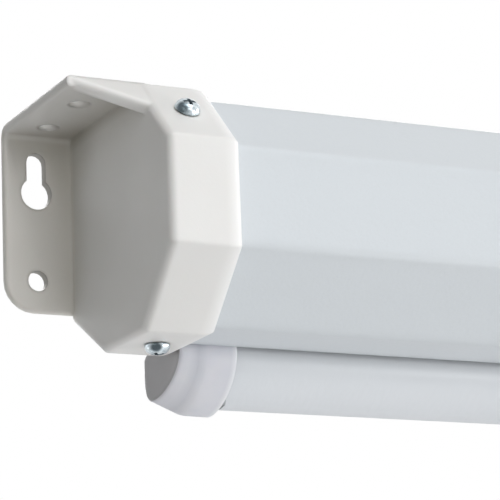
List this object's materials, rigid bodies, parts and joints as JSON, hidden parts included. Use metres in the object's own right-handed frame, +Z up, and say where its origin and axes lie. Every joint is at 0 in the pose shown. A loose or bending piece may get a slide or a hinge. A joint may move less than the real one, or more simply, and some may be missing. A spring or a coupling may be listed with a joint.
{
  "type": "projector screen",
  "caption": "Pull-down projector screen with an octagonal case, moulded end brackets, spring roller, cloth and bottom bar with a pull handle.",
  "frame": {"origin": "middle of the line where the wall plane meets the ceiling plane, along the case's top back edge", "axes": "+X along the case to the right seen from the front, +Y into the wall, +Z up"},
  "size_m": [1.194, 0.0762, 0.1285],
  "materials": {
    "bracket_plastic": "satin warm white moulded",
    "case_paint": "satin cool white powder coat",
    "bar_paint": "satin cool white powder coat",
    "bar_cap_plastic": "satin white moulded",
    "zinc": "bright zinc plated",
    "steel": "plain drawn",
    "spring_steel": "dark oiled",
    "nylon": "natural",
    "grey_plastic": "moulded",
    "screen_cloth": "matte white"
  },
  "bodies": {
    "case": {"bracket_left": "bracket_plastic", "bracket_right": "bracket_plastic", "casing": "case_paint", "case_screw_left_upper": "zinc", "case_screw_left_lower": "zinc", "case_screw_right_upper": "zinc", "case_screw_right_lower": "zinc", "spade_shaft": "steel", "ratchet_hub": "steel", "spring_collar": "nylon", "shaft_clip": "spring_steel", "pin_bush": "nylon"},
    "roller": {"roller_tube": "steel", "spring_end_plug": "grey_plastic", "pawl_pin_upper": "steel", "pawl_pin_lower": "steel", "torsion_spring": "spring_steel", "spring_anchor": "grey_plastic", "pin_end_plug": "grey_plastic", "gudgeon_pin": "steel", "cloth_roll": "screen_cloth"},
    "bar": {"cloth_drop": "screen_cloth", "bottom_bar": "bar_paint", "hem_rod": "grey_plastic", "bar_cap_left": "bar_cap_plastic", "bar_cap_right": "bar_cap_plastic", "handle_clip": "bar_cap_plastic", "handle_screw_left": "zinc", "handle_screw_right": "zinc"},
    "handle": {"pull_handle": "steel"},
    "pawl_a": {"pawl_upper": "steel"},
    "pawl_b": {"pawl_lower": "steel"}
  },
  "joints": [
    {"name": "bar_drop", "type": "slide", "parent": "case", "child": "bar", "axis": [0, 0, -1], "range_m": [0, 0.893], "deforming": ["cloth_drop"]},
    {"name": "roller_spin", "type": "hinge", "parent": "case", "child": "roller", "pos_m": [0, -0.0376, -0.0375], "axis": [1, 0, 0], "range_deg": [-2525, 5]},
    {"name": "handle_swing", "type": "hinge", "parent": "bar", "child": "handle", "pos_m": [0, -0.01509, -0.09255], "axis": [1, 0, 0], "range_deg": [-80, 20]},
    {"name": "pawl_upper_swing", "type": "hinge", "parent": "roller", "child": "pawl_a", "pos_m": [0, -0.02841, -0.02831], "axis": [1, 0, 0], "range_deg": [-12, 10]},
    {"name": "pawl_lower_swing", "type": "hinge", "parent": "roller", "child": "pawl_b", "pos_m": [0, -0.04679, -0.04669], "axis": [1, 0, 0], "range_deg": [-12, 10]}
  ],
  "couplings": [
    {"joint": "roller_spin", "follows": "bar_drop", "rad_per_m": -49.252}
  ]
}
